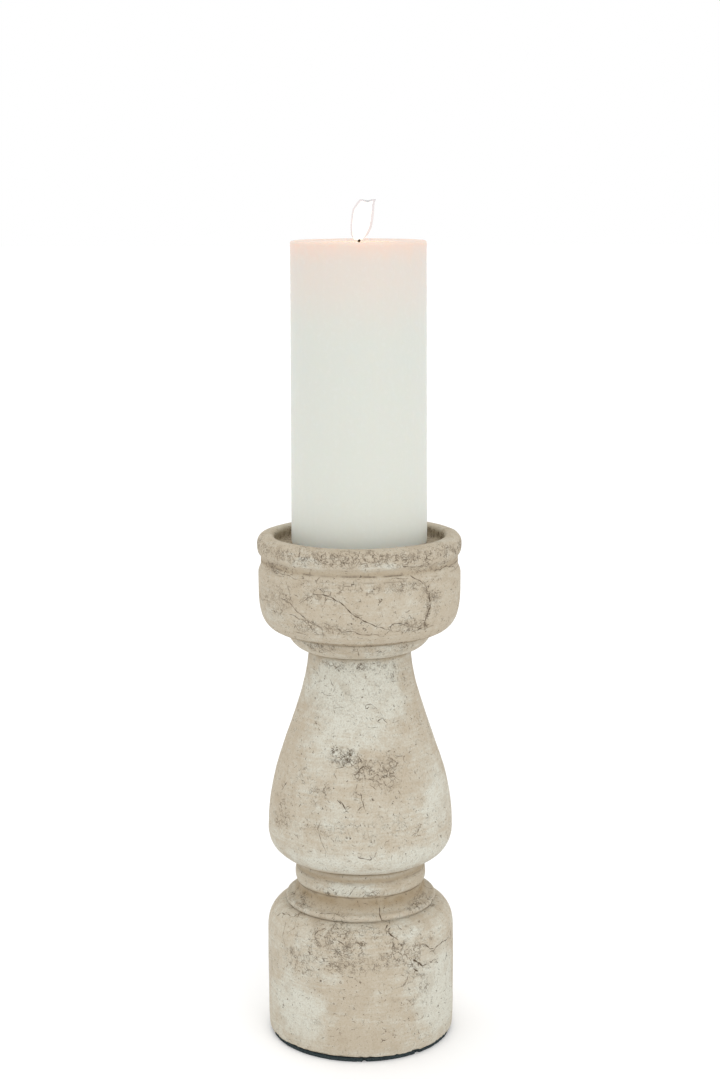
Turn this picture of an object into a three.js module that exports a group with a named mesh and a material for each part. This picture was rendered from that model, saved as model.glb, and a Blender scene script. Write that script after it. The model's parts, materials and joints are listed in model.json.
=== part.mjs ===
// Turned wooden candlestick with a crackled mineral coat, and the pillar candle it holds.
// Five turned sections stand on each other: base, double bead, stem, collar and cup. Two dowels
// join them. Each section is a wooden core under a thin coat, and the cup's coat lines its inside.
// Millimetres, +Z up. The origin is the centre of the underside, so the object stands on Z = 0.
import * as THREE from 'three';

// ---- facets ----
const segments = 28; // around the axis, a multiple of 4
const outerSteps = 5; // along each curve of a visible face
const hiddenSteps = 3; // along each curve of a hidden face

// ---- coat and glue ----
const coatThickness = 1.5;
const glueGap = 0.3; // between pieces that are glued together or rest on each other

// ---- foot pad ----
const padThickness = 2;
const padInset = 1; // the pad's edge lies this far inside the foot's

// ---- base: a drum with a round shoulder, a lip and a cove ----
const baseRadius = 48;
const footDraw = 0.7; // the foot's edge lies this far inside the wall
const footTaperHeight = 17.1;
const baseWallHeight = 34.9;
const shoulderHeight = 13.9;
const shoulderRadius = 37; // where the shoulder ends and the lip rises
const shoulderReach = 2.8; // level stretch at the shoulder's top
const lipHeight = 3.7;
const lipBulge = 1.5;
const coveHeight = 6.8;
const neckRadius = 32.5; // the cove's narrow top

// ---- double bead ----
const lowerBeadHeight = 7.5;
const lowerBeadBulge = 0.8;
const upperBeadHeight = 4.6;
const upperBeadBulge = 0.5;
const beadStep = 0.3; // each bead starts this much wider than the one below

// ---- pear-shaped stem ----
const stemFootRadius = 33.4;
const stemRadius = 47.5; // at the widest place
const stemLowerHeight = 16.2; // foot to widest place
const stemUpperHeight = 92.1; // widest place to top
const stemTopRadius = 26.3;

// ---- collar: an ovolo under the cup ----
const collarStep = 0.8; // the collar starts this much wider than the stem's top
const collarFlare = 10; // from its foot out to its top edge
const collarHeight = 9.3;

// ---- candle ----
const candleRadius = 34.8;
const candleHeight = 155.9;
const candleBottomRound = 3.2;
const candleTopRound = 1.4;
const dishInset = 4; // from the candle's side to the edge of the hollow around the wick
const dishDepth = 0.8;
const wickRadius = 0.8;
const wickExposed = 5; // above the wax
const wickCover = 2; // wax under the wick's lower end

// ---- cup ----
const candleClearance = 8.7; // all round, between the candle and the cup's inner wall
const cupDepth = 6.4; // crest of the rim to the floor
const cupWall = 8.4; // inner wall to outer wall
const cupStep = 0.8; // the bowl starts this much inside the collar's top edge
const bowlHeight = 24.5;
const cupWallHeight = 6.8;
const grooveEase = 4.2; // height over which the wall runs into the groove
const grooveDepth = 1.4;
const grooveHeight = 4.2;
const rimHeight = 10.3;
const rimOverhang = 0.6; // of the rolled rim beyond the wall
const rimRoundHeight = 4.3; // from the rim's widest place to its crest
const crestInset = 3; // from the inner wall out to the crest
const crestDrop = 3; // of the round inner edge below the crest
const floorFillet = 1;

// ---- dowels ----
const dowelRadius = 10;
const dowelChamfer = 1.5;
const lowerDowelDepth = 30; // into the base and into the stem
const upperDowelDepth = 22; // into the stem and into the cup

// ---- heights and radii that follow ----
const footRadius = baseRadius - footDraw;
const baseBottom = padThickness + glueGap;
const baseWallTop = baseBottom + footTaperHeight + baseWallHeight;
const baseTop = baseWallTop + shoulderHeight + lipHeight + coveHeight;
const beadBottom = baseTop + glueGap;
const beadTop = beadBottom + lowerBeadHeight + upperBeadHeight;
const stemBottom = beadTop + glueGap;
const stemTop = stemBottom + stemLowerHeight + stemUpperHeight;
const collarBottom = stemTop + glueGap;
const collarTop = collarBottom + collarHeight;
const cupBottom = collarTop + glueGap;
const cupTop = cupBottom + bowlHeight + cupWallHeight + grooveEase + grooveHeight + rimHeight;
const cupFloor = cupTop - cupDepth;
const candleBottom = cupFloor + glueGap;
const candleTop = candleBottom + candleHeight;
const collarFootRadius = stemTopRadius + collarStep;
const collarTopRadius = collarFootRadius + collarFlare;
const cupInnerRadius = candleRadius + candleClearance;
const cupRadius = cupInnerRadius + cupWall;
const woodInset = coatThickness + glueGap;
const boreRadius = dowelRadius + glueGap;

// ---- outlines of the finished faces, as (radius, height), from the bottom up ----

// A bead between the path's last point and the same radius higher up.
function addBead(path, radius, bottom, top, bulge) {
  const reach = radius + (bulge * 4) / 3;
  path.bezierCurveTo(reach, bottom, reach, top, radius, top);
}

function baseOutline(steps, beads) {
  const taperTop = baseBottom + footTaperHeight;
  const shoulderTop = baseWallTop + shoulderHeight;
  const lipTop = shoulderTop + lipHeight;
  const path = new THREE.Path();
  path.moveTo(footRadius, baseBottom);
  path.quadraticCurveTo(baseRadius, baseBottom + footTaperHeight * 0.4, baseRadius, taperTop);
  path.lineTo(baseRadius, baseWallTop);
  path.bezierCurveTo(
    baseRadius,
    baseWallTop + shoulderHeight * 0.83,
    shoulderRadius + shoulderReach,
    shoulderTop,
    shoulderRadius,
    shoulderTop,
  );
  if (beads) {
    addBead(path, shoulderRadius, shoulderTop, lipTop, lipBulge);
  } else {
    path.lineTo(shoulderRadius, lipTop);
  }
  path.bezierCurveTo(
    (shoulderRadius + neckRadius) / 2,
    lipTop,
    neckRadius,
    lipTop + coveHeight * 0.55,
    neckRadius,
    baseTop,
  );
  return path.getPoints(steps);
}

function beadOutline(steps, beads) {
  const middle = beadBottom + lowerBeadHeight;
  const upperRadius = neckRadius + beadStep;
  const path = new THREE.Path();
  path.moveTo(neckRadius, beadBottom);
  if (beads) {
    addBead(path, neckRadius, beadBottom, middle, lowerBeadBulge);
    path.lineTo(upperRadius, middle);
    addBead(path, upperRadius, middle, beadTop, upperBeadBulge);
  } else {
    path.lineTo(neckRadius, beadTop);
  }
  return path.getPoints(steps);
}

function stemOutline(steps) {
  const widest = stemBottom + stemLowerHeight;
  const path = new THREE.Path();
  path.moveTo(stemFootRadius, stemBottom);
  path.bezierCurveTo(
    stemFootRadius + (stemRadius - stemFootRadius) * 0.56,
    stemBottom + stemLowerHeight * 0.12,
    stemRadius,
    stemBottom + stemLowerHeight * 0.37,
    stemRadius,
    widest,
  );
  path.bezierCurveTo(
    stemRadius,
    widest + stemUpperHeight * 0.39,
    stemTopRadius + stemUpperHeight * 0.024,
    stemTop - stemUpperHeight * 0.36,
    stemTopRadius,
    stemTop,
  );
  return path.getPoints(steps * 2);
}

function collarOutline(steps) {
  const path = new THREE.Path();
  path.moveTo(collarFootRadius, collarBottom);
  path.bezierCurveTo(
    collarFootRadius + collarFlare * 0.41,
    collarBottom,
    collarTopRadius,
    collarBottom + collarHeight * 0.59,
    collarTopRadius,
    collarTop,
  );
  return path.getPoints(steps);
}

// From the bowl's foot up the outside, over the rim, down the inner wall and across the floor.
function cupOutline(steps) {
  const footRadiusOfBowl = collarTopRadius - cupStep;
  const bowlTop = cupBottom + bowlHeight;
  const wallTop = bowlTop + cupWallHeight;
  const grooveBottom = wallTop + grooveEase;
  const grooveTop = grooveBottom + grooveHeight;
  const grooveRadius = cupRadius - grooveDepth;
  const rimRadius = cupRadius + rimOverhang;
  const rimWidest = cupTop - rimRoundHeight;
  const crestRadius = cupInnerRadius + crestInset;
  const path = new THREE.Path();
  path.moveTo(footRadiusOfBowl, cupBottom);
  path.bezierCurveTo(
    footRadiusOfBowl + (cupRadius - footRadiusOfBowl) * 0.96,
    cupBottom,
    cupRadius,
    cupBottom + bowlHeight * 0.5,
    cupRadius,
    bowlTop,
  );
  path.lineTo(cupRadius, wallTop);
  path.quadraticCurveTo(grooveRadius, wallTop + grooveEase * 0.6, grooveRadius, grooveBottom);
  path.lineTo(grooveRadius, grooveTop);
  path.quadraticCurveTo(rimRadius, grooveTop, rimRadius, rimWidest);
  path.quadraticCurveTo(rimRadius, cupTop, crestRadius, cupTop);
  path.quadraticCurveTo(cupInnerRadius, cupTop, cupInnerRadius, cupTop - crestDrop);
  path.lineTo(cupInnerRadius, cupFloor + floorFillet);
  path.lineTo(cupInnerRadius - floorFillet, cupFloor);
  path.lineTo(0, cupFloor);
  return path.getPoints(steps);
}

// ---- from outlines to solids ----

// The unit normal of the stretch from one point to the next, pointing out of the solid.
function outward(from, to) {
  return new THREE.Vector2(to.y - from.y, from.x - to.x).normalize();
}

// An outline moved into the solid, square to itself, with mitred corners. A level first stretch
// keeps its end upright above the outline's start, endGap further in, and any other end stays level.
function moveIn(outline, distance, endGap) {
  const last = outline.length - 1;
  const moved = outline.map((point, i) => {
    const before = outward(outline[Math.max(i - 1, 0)], outline[Math.max(i, 1)]);
    const after = outward(outline[Math.min(i, last - 1)], outline[Math.min(i + 1, last)]);
    const mitre = before.clone().add(after).divideScalar(1 + before.dot(after));
    return point.clone().addScaledVector(mitre, -distance);
  });
  const start = outline[0];
  if (Math.abs(outline[1].y - start.y) < Math.abs(outline[1].x - start.x)) {
    moved[0].x = start.x - endGap;
  } else {
    moved[0].y = start.y;
  }
  if (outline[last].x > 0) {
    moved[last].y = outline[last].y;
  }
  return moved;
}

const at = (radius, height) => new THREE.Vector2(radius, height);

// A solid of revolution about Z from a profile that ends on the axis or closes on itself.
function turned(profile, around = segments) {
  const geometry = new THREE.LatheGeometry(profile, around);
  geometry.rotateX(Math.PI / 2);
  return geometry;
}

// The coat of one section: the finished face outside, and the same outline moved in as its back.
function coat(face, plainFace) {
  const back = moveIn(plainFace, coatThickness, 0).reverse();
  const profile = [...back, ...face];
  if (face[face.length - 1].x > 0) {
    profile.push(back[0].clone());
  }
  return turned(profile);
}

// The outside of a section's wooden core, from its bottom face to its top.
function coreSide(plainFace) {
  const side = moveIn(plainFace, woodInset, glueGap);
  const bottom = plainFace[0].y;
  if (side[0].y > bottom) {
    side.unshift(at(side[0].x, bottom));
  }
  return side;
}

// The end of a core's profile: a dowel hole of the given depth, or a plain face at 0.
function coreEnd(height, holeDepth) {
  if (holeDepth === 0) {
    return [at(0, height)];
  }
  return [at(0, height + holeDepth), at(boreRadius, height + holeDepth), at(boreRadius, height)];
}

// A wooden core with its dowel holes. A top at the axis is already closed.
function core(plainFace, bottomHole, topHole) {
  const side = coreSide(plainFace);
  const top = side[side.length - 1];
  const profile = [...coreEnd(side[0].y, bottomHole), ...side];
  if (top.x > 0) {
    profile.push(...coreEnd(top.y, -topHole).reverse());
  }
  return turned(profile);
}

// A wooden core that its dowel passes right through.
function boredCore(plainFace) {
  const side = coreSide(plainFace);
  const bottom = side[0].y;
  const top = side[side.length - 1].y;
  return turned([at(boreRadius, bottom), ...side, at(boreRadius, top), at(boreRadius, bottom)]);
}

// A dowel between two heights, its ends chamfered.
function dowel(bottom, top) {
  return turned([
    at(0, bottom),
    at(dowelRadius - dowelChamfer, bottom),
    at(dowelRadius, bottom + dowelChamfer),
    at(dowelRadius, top - dowelChamfer),
    at(dowelRadius - dowelChamfer, top),
    at(0, top),
  ]);
}

function pad() {
  const radius = footRadius - padInset;
  return turned([at(0, 0), at(radius, 0), at(radius, padThickness), at(0, padThickness)]);
}

// A straight pillar with rounded edges, a shallow hollow on top and a hole for its wick.
function wax() {
  const wickBottom = candleBottom + wickCover;
  const holeRadius = wickRadius + glueGap;
  const dishRadius = candleRadius - dishInset;
  const path = new THREE.Path();
  path.moveTo(0, candleBottom);
  path.lineTo(candleRadius - candleBottomRound, candleBottom);
  path.quadraticCurveTo(candleRadius, candleBottom, candleRadius, candleBottom + candleBottomRound);
  path.lineTo(candleRadius, candleTop - candleTopRound);
  path.quadraticCurveTo(candleRadius, candleTop, candleRadius - candleTopRound, candleTop);
  path.lineTo(dishRadius, candleTop - dishDepth);
  path.lineTo(holeRadius, candleTop - dishDepth);
  path.lineTo(holeRadius, wickBottom - glueGap);
  path.lineTo(0, wickBottom - glueGap);
  return turned(path.getPoints(hiddenSteps));
}

function wick() {
  const bottom = candleBottom + wickCover;
  const top = candleTop - dishDepth + wickExposed;
  const profile = [at(0, bottom), at(wickRadius, bottom), at(wickRadius, top), at(0, top)];
  return turned(profile, 12);
}

// ---- the object ----
const candlestick = new THREE.Group();

function addPart(name, geometry, color, roughness) {
  const material = new THREE.MeshStandardMaterial({ color, roughness, metalness: 0 });
  const mesh = new THREE.Mesh(geometry, material);
  mesh.name = name;
  candlestick.add(mesh);
}

const coatRoughness = 0.92;
const woodRoughness = 0.75;
const woodColor = 0xb08a5c;
const dowelColor = 0xc9a877;

addPart('felt_pad', pad(), 0x23282a, 0.95);

// Coats: a finished face with its beads, and a plainer back.
const baseFace = baseOutline(outerSteps, true);
const basePlain = baseOutline(hiddenSteps, false);
const beadFace = beadOutline(outerSteps, true);
const beadPlain = beadOutline(hiddenSteps, false);
const stemPlain = stemOutline(hiddenSteps);
const collarPlain = collarOutline(hiddenSteps);
const cupPlain = cupOutline(hiddenSteps);
addPart('base_coat', coat(baseFace, basePlain), 0xcfc8b8, coatRoughness);
addPart('bead_coat', coat(beadFace, beadPlain), 0xc8b9a2, coatRoughness);
addPart('stem_coat', coat(stemOutline(outerSteps), stemPlain), 0xcdc8b8, coatRoughness);
addPart('collar_coat', coat(collarOutline(outerSteps), collarPlain), 0xc4b8a4, coatRoughness);
addPart('cup_coat', coat(cupOutline(outerSteps), cupPlain), 0xc3b9a6, coatRoughness);

// Wooden cores: the base and the cup each take one dowel, the stem takes both.
addPart('base_block', core(basePlain, 0, lowerDowelDepth), woodColor, woodRoughness);
addPart('bead_ring', boredCore(beadPlain), woodColor, woodRoughness);
addPart('stem', core(stemPlain, lowerDowelDepth, upperDowelDepth), woodColor, woodRoughness);
addPart('collar_disc', boredCore(collarPlain), woodColor, woodRoughness);
addPart('cup_block', core(cupPlain, upperDowelDepth, 0), woodColor, woodRoughness);

// Dowels, a glue gap short of each hole's end.
addPart(
  'lower_dowel',
  dowel(baseTop - lowerDowelDepth + glueGap, stemBottom + lowerDowelDepth - glueGap),
  dowelColor,
  woodRoughness,
);
addPart(
  'upper_dowel',
  dowel(stemTop - upperDowelDepth + glueGap, cupBottom + upperDowelDepth - glueGap),
  dowelColor,
  woodRoughness,
);

addPart('candle_wax', wax(), 0xe6e4da, 0.45);
addPart('candle_wick', wick(), 0x2a2420, 0.9);

export default candlestick;
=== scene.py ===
"""The looks of a turned wooden candlestick with a crackled mineral coat, and of its lit pillar candle.

Shapes are worked out in millimetres and become metres when a mesh is made. Angles go round the axis
in degrees: 0 is the right side (+X), 90 the front (-Y), 180 the left side and 270 the back.
"""
import itertools
import json
import math

import bpy
import numpy as np
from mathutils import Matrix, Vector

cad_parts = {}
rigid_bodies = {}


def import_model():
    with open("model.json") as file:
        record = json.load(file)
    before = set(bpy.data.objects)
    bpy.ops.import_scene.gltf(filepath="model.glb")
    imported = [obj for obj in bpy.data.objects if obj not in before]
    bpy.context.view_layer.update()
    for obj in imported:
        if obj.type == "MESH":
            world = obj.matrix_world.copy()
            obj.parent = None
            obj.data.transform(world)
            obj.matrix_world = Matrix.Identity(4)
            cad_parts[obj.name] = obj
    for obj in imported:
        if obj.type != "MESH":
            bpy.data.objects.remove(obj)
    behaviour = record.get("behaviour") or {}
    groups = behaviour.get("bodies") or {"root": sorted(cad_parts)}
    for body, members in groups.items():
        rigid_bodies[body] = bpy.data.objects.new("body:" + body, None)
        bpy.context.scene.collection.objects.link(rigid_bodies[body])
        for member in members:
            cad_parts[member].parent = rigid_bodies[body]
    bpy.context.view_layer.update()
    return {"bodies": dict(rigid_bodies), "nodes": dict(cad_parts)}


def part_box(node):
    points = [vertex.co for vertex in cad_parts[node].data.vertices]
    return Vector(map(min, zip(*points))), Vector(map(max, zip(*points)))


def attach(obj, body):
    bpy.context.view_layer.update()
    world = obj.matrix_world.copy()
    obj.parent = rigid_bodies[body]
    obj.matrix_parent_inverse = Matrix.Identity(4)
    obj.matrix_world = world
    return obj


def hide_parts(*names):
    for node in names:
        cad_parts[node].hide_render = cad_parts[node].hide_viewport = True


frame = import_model()

MM = 0.001

# ---- places that come from the frame, in millimetres ----


def heights(node):
    low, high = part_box(node)
    return low.z / MM, high.z / MM


def widest(node):
    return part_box(node)[1].x / MM


BASE_BOTTOM, BASE_TOP = heights("base_coat")
BEAD_BOTTOM, BEAD_TOP = heights("bead_coat")
STEM_BOTTOM, STEM_TOP = heights("stem_coat")
COLLAR_BOTTOM, COLLAR_TOP = heights("collar_coat")
CUP_BOTTOM, CUP_TOP = heights("cup_coat")
CANDLE_BOTTOM, CANDLE_TOP = heights("candle_wax")
CUP_FLOOR = CANDLE_BOTTOM - 0.3
PAD_TOP = heights("felt_pad")[1]
BASE_RADIUS = widest("base_coat")
STEM_RADIUS = widest("stem_coat")
COLLAR_RADIUS = widest("collar_coat")
CANDLE_RADIUS = widest("candle_wax")
PAD_RADIUS = widest("felt_pad")

# ---- the turned profile ----
FOOT_DRAW = 0.7
FOOT_TAPER_HEIGHT = 17.1
FOOT_TAPER_PULL = 6.8  # height of the point that bends the taper
BASE_WALL_HEIGHT = 34.9
SHOULDER_HEIGHT = 13.9
SHOULDER_RADIUS = 37.0
LIP_HEIGHT = 3.7
LIP_BULGE = 1.9
NECK_RADIUS = 32.5
LOWER_BEAD_HEIGHT = 7.5
LOWER_BEAD_BULGE = 1.3
UPPER_BEAD_BULGE = 0.8
BEAD_STEP = 0.3
STEM_FOOT_RADIUS = 33.4
STEM_LOWER_HEIGHT = 16.2
STEM_TOP_RADIUS = 26.3
COLLAR_FOOT_RADIUS = 27.1
CUP_STEP = 0.8
CUP_RADIUS = 51.9
BOWL_HEIGHT = 24.5
CUP_WALL_HEIGHT = 6.8
GROOVE_EASE = 4.2
GROOVE_DEPTH = 1.4
GROOVE_HEIGHT = 4.2
RIM_OVERHANG = 0.6
RIM_ROUND_HEIGHT = 4.3
CUP_INNER_RADIUS = 43.5
CREST_INSET = 3.0
CREST_DROP = 3.0
FLOOR_FILLET = 1.0
COAT_THICKNESS = 1.5
SEAM = 0.15  # half the gap between two sections, which the coat closes

# ---- meshes ----
AROUND = 512  # columns of a coat's grid
SPACING = 0.6  # between its rows
BACK_SPACING = 3.0  # between the rows of its hidden back
NOISE_CELLS = 64  # of the random lattice, each way
WRAPPED_ROW = 1.02  # where the unwrap has a closed profile's first row for the second time


# ==== outlines ====


def line(start, end):
    return np.array([start, end], float)


def quad(start, pull, end, steps=16):
    t = np.linspace(0, 1, steps)[:, None]
    start, pull, end = (np.array(p, float) for p in (start, pull, end))
    return (1 - t) ** 2 * start + 2 * (1 - t) * t * pull + t**2 * end


def cubic(start, pull_a, pull_b, end, steps=48):
    t = np.linspace(0, 1, steps)[:, None]
    start, pull_a, pull_b, end = (np.array(p, float) for p in (start, pull_a, pull_b, end))
    near_start = (1 - t) ** 3 * start + 3 * (1 - t) ** 2 * t * pull_a
    return near_start + 3 * (1 - t) * t**2 * pull_b + t**3 * end


def bead(radius, bottom, top, bulge):
    reach = radius + bulge * 4 / 3
    return cubic((radius, bottom), (reach, bottom), (reach, top), (radius, top), 24)


def profile(start, *stretches):
    """Stretches that each start where the last one ended. A list has the end of its stretch last, after
    one or two points that pull it into a curve. Anything else is the points of a stretch."""
    parts = []
    for stretch in stretches:
        if isinstance(stretch, list):
            stretch = (line, quad, cubic)[len(stretch) - 1](start, *stretch)
        parts.append(stretch)
        start = stretch[-1]
    return np.vstack(parts)


def base_outline():
    taper_top = BASE_BOTTOM + FOOT_TAPER_HEIGHT
    wall_top = taper_top + BASE_WALL_HEIGHT
    shoulder_top = wall_top + SHOULDER_HEIGHT
    lip_top = shoulder_top + LIP_HEIGHT
    return profile(
        (BASE_RADIUS - FOOT_DRAW, BASE_BOTTOM),
        [(BASE_RADIUS, BASE_BOTTOM + FOOT_TAPER_PULL), (BASE_RADIUS, taper_top)],
        [(BASE_RADIUS, wall_top)],
        [(BASE_RADIUS, wall_top + SHOULDER_HEIGHT * 0.83), (SHOULDER_RADIUS + 2.8, shoulder_top),
         (SHOULDER_RADIUS, shoulder_top)],
        bead(SHOULDER_RADIUS, shoulder_top, lip_top, LIP_BULGE),
        [((SHOULDER_RADIUS + NECK_RADIUS) / 2, lip_top), (NECK_RADIUS, lip_top + LIP_HEIGHT),
         (NECK_RADIUS, BASE_TOP + SEAM)],
    )


def bead_outline():
    middle = BEAD_BOTTOM + LOWER_BEAD_HEIGHT
    upper = NECK_RADIUS + BEAD_STEP
    return profile(
        (NECK_RADIUS, BEAD_BOTTOM - SEAM),
        [(NECK_RADIUS, BEAD_BOTTOM)],
        bead(NECK_RADIUS, BEAD_BOTTOM, middle, LOWER_BEAD_BULGE),
        bead(upper, middle, BEAD_TOP, UPPER_BEAD_BULGE),
        [(upper, BEAD_TOP + SEAM)],
    )


def stem_outline():
    widest_height = STEM_BOTTOM + STEM_LOWER_HEIGHT
    upper = STEM_TOP - widest_height
    spread = STEM_RADIUS - STEM_FOOT_RADIUS
    return profile(
        (STEM_FOOT_RADIUS - 0.3, STEM_BOTTOM - SEAM),
        [(STEM_FOOT_RADIUS, STEM_BOTTOM)],
        [(STEM_FOOT_RADIUS + spread * 0.56, STEM_BOTTOM + STEM_LOWER_HEIGHT * 0.12),
         (STEM_RADIUS, STEM_BOTTOM + STEM_LOWER_HEIGHT * 0.37), (STEM_RADIUS, widest_height)],
        [(STEM_RADIUS, widest_height + upper * 0.39),
         (STEM_TOP_RADIUS + upper * 0.024, STEM_TOP - upper * 0.36), (STEM_TOP_RADIUS, STEM_TOP + SEAM)],
    )


def collar_outline():
    height = COLLAR_TOP - COLLAR_BOTTOM
    flare = COLLAR_RADIUS - COLLAR_FOOT_RADIUS
    return profile(
        (COLLAR_FOOT_RADIUS - 0.5, COLLAR_BOTTOM - SEAM),
        [(COLLAR_FOOT_RADIUS, COLLAR_BOTTOM)],
        [(COLLAR_FOOT_RADIUS + flare * 0.41, COLLAR_BOTTOM), (COLLAR_RADIUS, COLLAR_BOTTOM + height * 0.59),
         (COLLAR_RADIUS, COLLAR_TOP)],
        [(COLLAR_RADIUS - 0.3, COLLAR_TOP + SEAM)],
    )


def cup_outline():
    foot = COLLAR_RADIUS - CUP_STEP
    bowl_top = CUP_BOTTOM + BOWL_HEIGHT
    wall_top = bowl_top + CUP_WALL_HEIGHT
    groove_bottom = wall_top + GROOVE_EASE
    groove_top = groove_bottom + GROOVE_HEIGHT
    groove = CUP_RADIUS - GROOVE_DEPTH
    rim = CUP_RADIUS + RIM_OVERHANG
    return profile(
        (foot - 0.5, CUP_BOTTOM - SEAM),
        [(foot, CUP_BOTTOM)],
        [(foot + (CUP_RADIUS - foot) * 0.96, CUP_BOTTOM), (CUP_RADIUS, CUP_BOTTOM + BOWL_HEIGHT * 0.5),
         (CUP_RADIUS, bowl_top)],
        [(CUP_RADIUS, wall_top)],
        [(groove, wall_top + GROOVE_EASE * 0.6), (groove, groove_bottom)],
        [(groove, groove_top)],
        [(rim, groove_top), (rim, CUP_TOP - RIM_ROUND_HEIGHT)],
        [(rim, CUP_TOP), (CUP_INNER_RADIUS + CREST_INSET, CUP_TOP)],
        [(CUP_INNER_RADIUS, CUP_TOP), (CUP_INNER_RADIUS, CUP_TOP - CREST_DROP)],
        [(CUP_INNER_RADIUS, CUP_FLOOR + FLOOR_FILLET)],
        [(CUP_INNER_RADIUS, CUP_FLOOR), (CUP_INNER_RADIUS - FLOOR_FILLET, CUP_FLOOR)],
        [(0, CUP_FLOOR)],
    )


def even(outline, spacing):
    """The outline with points the given distance apart, and the run along it to each of them."""
    steps = np.hypot(*np.diff(outline, axis=0).T)
    outline = outline[np.r_[True, steps > 1e-6]]
    run = np.r_[0, np.cumsum(np.hypot(*np.diff(outline, axis=0).T))]
    count = max(2, round(run[-1] / spacing) + 1)
    wanted = np.linspace(0, run[-1], count)
    points = np.column_stack([np.interp(wanted, run, outline[:, 0]), np.interp(wanted, run, outline[:, 1])])
    return points, wanted


def normals(points):
    """Unit normals of an outline, to the right of its way up, which is out of the solid."""
    way = np.gradient(points, axis=0)
    way /= np.hypot(*way.T)[:, None]
    return np.column_stack([way[:, 1], -way[:, 0]])


# ==== random surfaces ====


def noise(points, size, seed):
    """Smooth random values from -1 to 1 that change over about the given size."""
    lattice = np.random.default_rng(seed).uniform(-1, 1, (NOISE_CELLS,) * 3)
    place = points / size
    cell = np.floor(place).astype(int)
    part = place - cell
    part = part * part * (3 - 2 * part)
    value = np.zeros(points.shape[:-1])
    for corner in itertools.product((0, 1), repeat=3):
        weight = np.prod(np.where(corner, part, 1 - part), axis=-1)
        x, y, z = np.moveaxis((cell + corner) % NOISE_CELLS, -1, 0)
        value += weight * lattice[x, y, z]
    return value


def smooth(value, low, high):
    t = np.clip((value - low) / (high - low), 0, 1)
    return t * t * (3 - 2 * t)


def eased(points, run, reach):
    """The outline with its corners rounded over about the reach. Its ends stay where they are."""
    gap = run[:, None] - run[None, :]
    weight = np.exp(-((gap / reach) ** 2))
    rounded = weight @ points / weight.sum(1, keepdims=True)
    hold = np.clip(np.minimum(run, run[-1] - run) / (2 * reach), 0, 1)[:, None]
    return points + (rounded - points) * hold


class Skin:
    """A turned face as a grid of rows along its outline and columns around the axis."""

    def __init__(self, outline, spacing=SPACING, columns=AROUND, ease=0.0):
        self.points, self.run = even(outline, spacing)
        if ease:
            self.points = eased(self.points, self.run, ease)
        self.normal = normals(self.points)
        self.angle = np.arange(columns) * 360 / columns
        turn = np.radians(self.angle)[None, :]
        self.around = np.stack([np.cos(turn), -np.sin(turn)], -1)
        grid = self.spun(self.points)
        self.radius = grid[..., 0]
        self.height = grid[..., 1]
        self.place = self.in_space(grid)
        self.sink = np.zeros(self.radius.shape)
        self.values = {}

    def spun(self, points):
        """An outline's points repeated for each column."""
        return points[:, None, :] + 0 * self.angle[None, :, None]

    def in_space(self, grid):
        """The places of a grid of (radius, height)."""
        return np.concatenate([grid[..., :1] * self.around, grid[..., 1:]], -1)

    def moved(self, lift):
        """The grid moved out along the outline's normals."""
        return self.spun(self.points) + lift[..., None] * self.normal[:, None, :]

    def row_at(self, height):
        """The run along the outline to a height on the outer face."""
        outer = np.argmax(self.points[:, 1]) + 1
        return np.interp(height, self.points[:outer, 1], self.run[:outer])

    def away(self, angle):
        """Degrees from an angle to each column, -180 to 180."""
        return (self.angle - angle + 180) % 360 - 180

    def patch(self, angle, height, spread, rise, ragged=0.0, seed=0):
        """1 in a soft round patch, falling to 0 at the given degrees and millimetres from its centre."""
        far = np.hypot(self.away(angle)[None, :] / spread, (self.height - height) / rise)
        if ragged:
            far = far + ragged * noise(self.place, min(rise, 12) * 0.6, seed)
        return 1 - smooth(far, 0.35, 1.0)

    def noise_round(self, size, seed):
        """Noise that changes around the axis and not with the height."""
        return noise(self.place * (1, 1, 0), size, seed)

    def ends(self, reach):
        """0 at both ends of the outline, 1 further in than the reach. A face that ends on the axis
        has one end."""
        low = smooth(self.run, 0, reach)
        high = smooth(self.run[-1] - self.run, 0, reach) if self.points[-1, 0] > 1 else 1
        return (low * high)[:, None]

    def window(self, angle, run, reach):
        """Rows and columns within reach of a place, and how far right and up of it they lie."""
        rows = np.nonzero(np.abs(self.run - run) <= reach)[0]
        radius = max(np.interp(run, self.run, self.points[:, 0]), 1.0)
        columns = np.nonzero(np.abs(self.away(angle)) <= np.degrees(reach / radius))[0]
        across = np.radians(self.away(angle)[columns])[None, :] * self.points[rows, 0][:, None]
        up = (self.run[rows] - run)[:, None] + 0 * across
        return np.ix_(rows, columns), across, up

    def pits(self, density, count, smallest, largest, depth, seed):
        """Small ragged hollows, more of them where the density is high."""
        chance = np.random.default_rng(seed)
        weight = (density * self.radius).ravel()
        chosen = chance.choice(weight.size, count, p=weight / weight.sum())
        for index in chosen:
            row, column = divmod(index, self.angle.size)
            size = smallest + (largest - smallest) * chance.random() ** 3
            stretch = chance.uniform(0.5, 1.0)
            turn = chance.uniform(0, math.pi)
            deep = depth * chance.uniform(0.5, 1.0)
            cells, across, up = self.window(self.angle[column], self.run[row], size)
            along = across * math.cos(turn) + up * math.sin(turn)
            beside = (up * math.cos(turn) - across * math.sin(turn)) / stretch
            hollow = deep * np.clip(1 - (along**2 + beside**2) / size**2, 0, 1)
            self.sink[cells] = np.maximum(self.sink[cells], hollow)


CRACK_LAYERS = 6
CRACK_REACH = 1.4  # a crack's distance is kept this far from it
UNSEEN_ANGLES = (172, 368)  # from the left side round the back to the right side


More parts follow.
